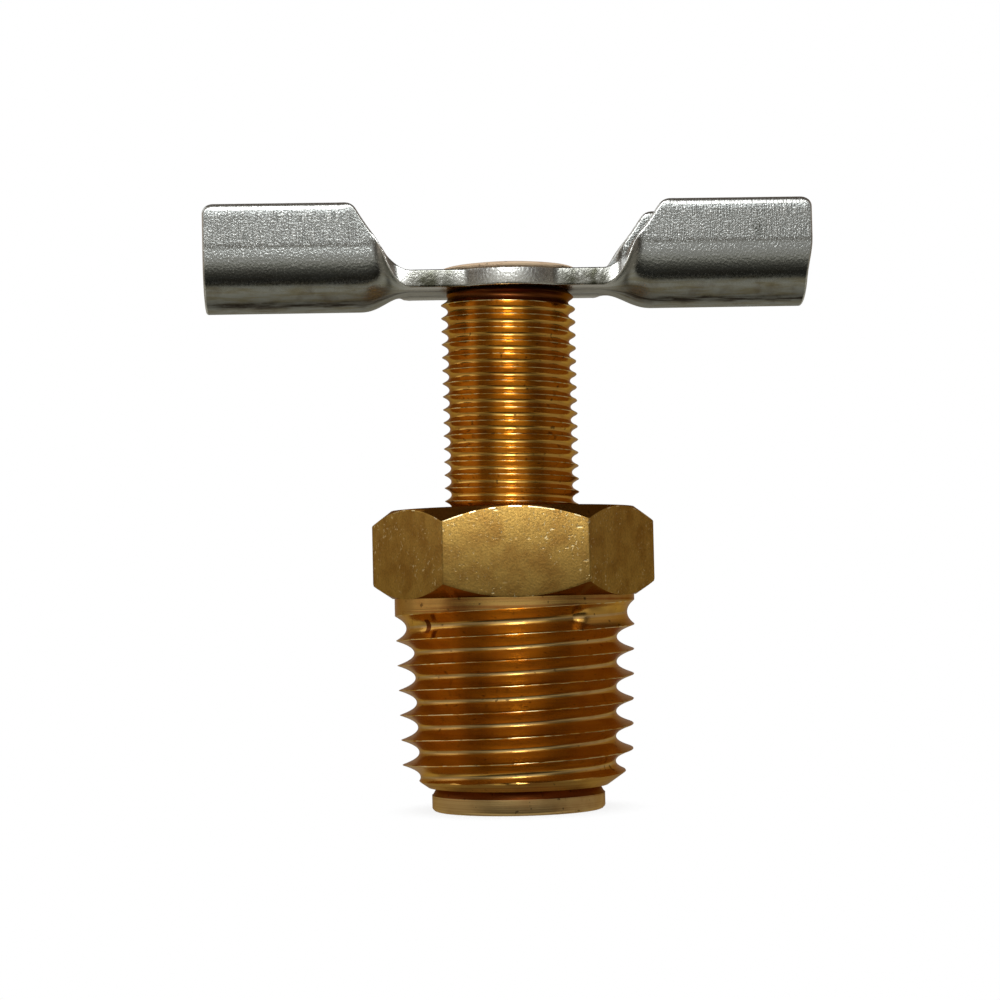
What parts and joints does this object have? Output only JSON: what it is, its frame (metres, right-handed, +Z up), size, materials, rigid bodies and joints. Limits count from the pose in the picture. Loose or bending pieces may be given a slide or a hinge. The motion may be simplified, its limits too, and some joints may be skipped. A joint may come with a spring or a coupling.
{
  "type": "drain cock",
  "caption": "Small brass drain cock with a spanner hexagon, a tapered pipe thread, a hollow screw stem whose cone closes the lower end, and a folded steel wing handle.",
  "frame": {"origin": "centre of the stem head's underside, the lowest face", "axes": "+Z up the stem towards the handle, two flats of the hexagon face +Y and -Y, the wings lie along X, turned 2.2 degrees on the screw"},
  "size_m": [0.0346, 0.014, 0.0345],
  "materials": {
    "turned_brass": "machined from bar, flats left matt",
    "zinc_plated_steel": "stamped and folded sheet, bright zinc plate"
  },
  "bodies": {
    "valve_body": {"body": "turned_brass"},
    "screw_stem": {"stem": "turned_brass"},
    "handle": {"wing_handle": "zinc_plated_steel"}
  },
  "joints": [
    {"name": "stem_travel", "type": "slide", "parent": "valve_body", "child": "screw_stem", "axis": [0, 0, -1], "range_m": [0, 0.0107]},
    {"name": "handle_turn", "type": "hinge", "parent": "screw_stem", "child": "handle", "pos_m": [0, 0, 0.03005], "axis": [0, 0, 1], "range_deg": [0, 5130]}
  ],
  "couplings": [
    {"joint": "stem_travel", "follows": "handle_turn", "m_per_rad": 0.00011937}
  ]
}
